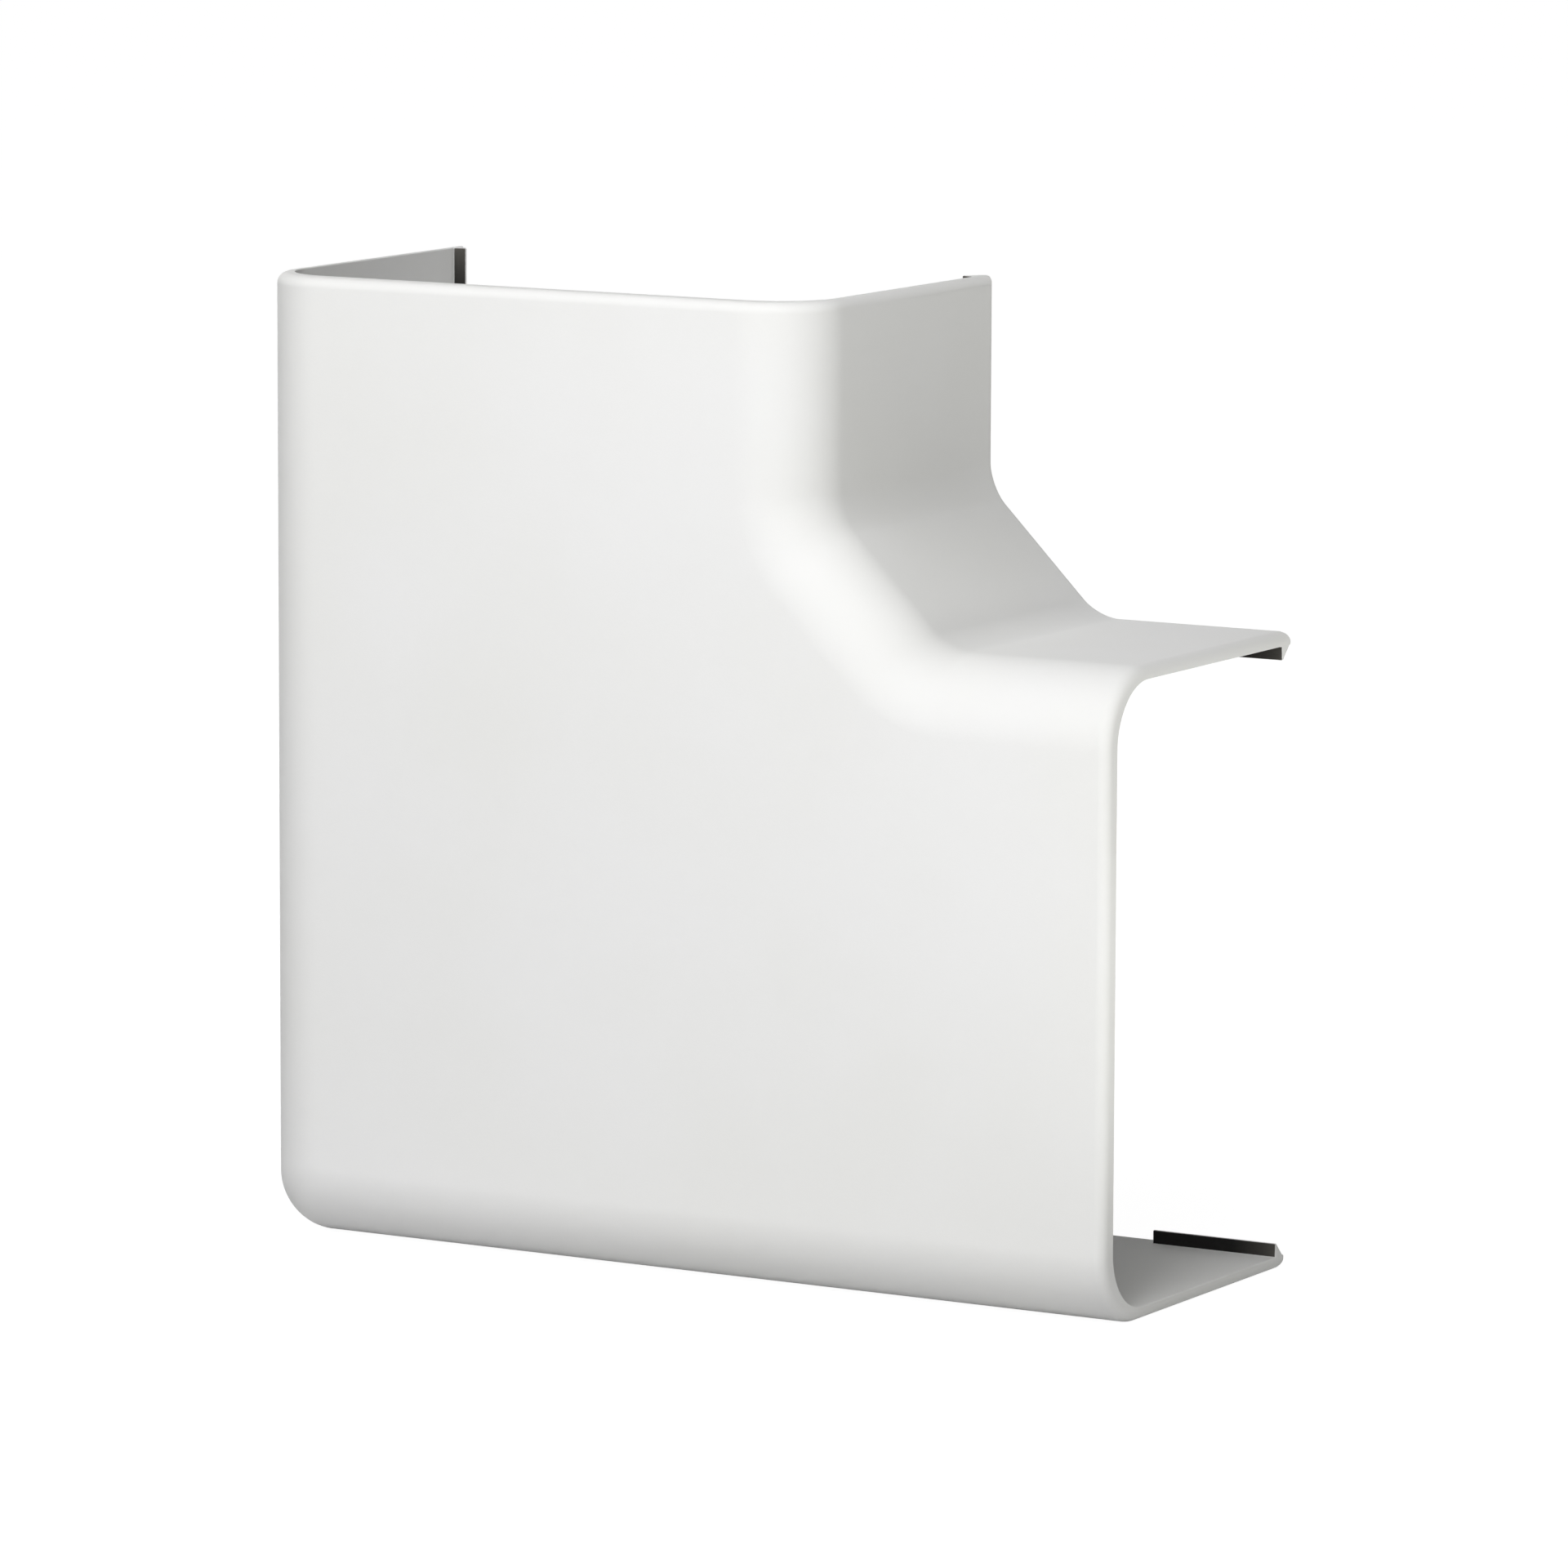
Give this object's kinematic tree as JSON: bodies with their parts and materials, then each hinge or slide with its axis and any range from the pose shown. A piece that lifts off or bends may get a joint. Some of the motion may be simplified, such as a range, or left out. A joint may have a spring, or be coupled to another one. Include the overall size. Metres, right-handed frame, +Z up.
{
  "type": "trunking flat angle",
  "caption": "Moulded L-shaped hood that turns wall trunking through a flat right angle, open behind and at both ends, with snap catches at the open ends.",
  "frame": {"origin": "centre of the bounding box's bottom face, on the plane that the bottom wall stands on", "axes": "+X to the right along the horizontal arm, +Y from the cover face towards the wall, +Z up along the vertical arm"},
  "size_m": [0.1524, 0.06, 0.1523],
  "materials": {
    "white_plastic": "satin, fine moulded surface"
  },
  "bodies": {
    "root": {"flat_angle_hood": "white_plastic"}
  },
  "joints": []
}
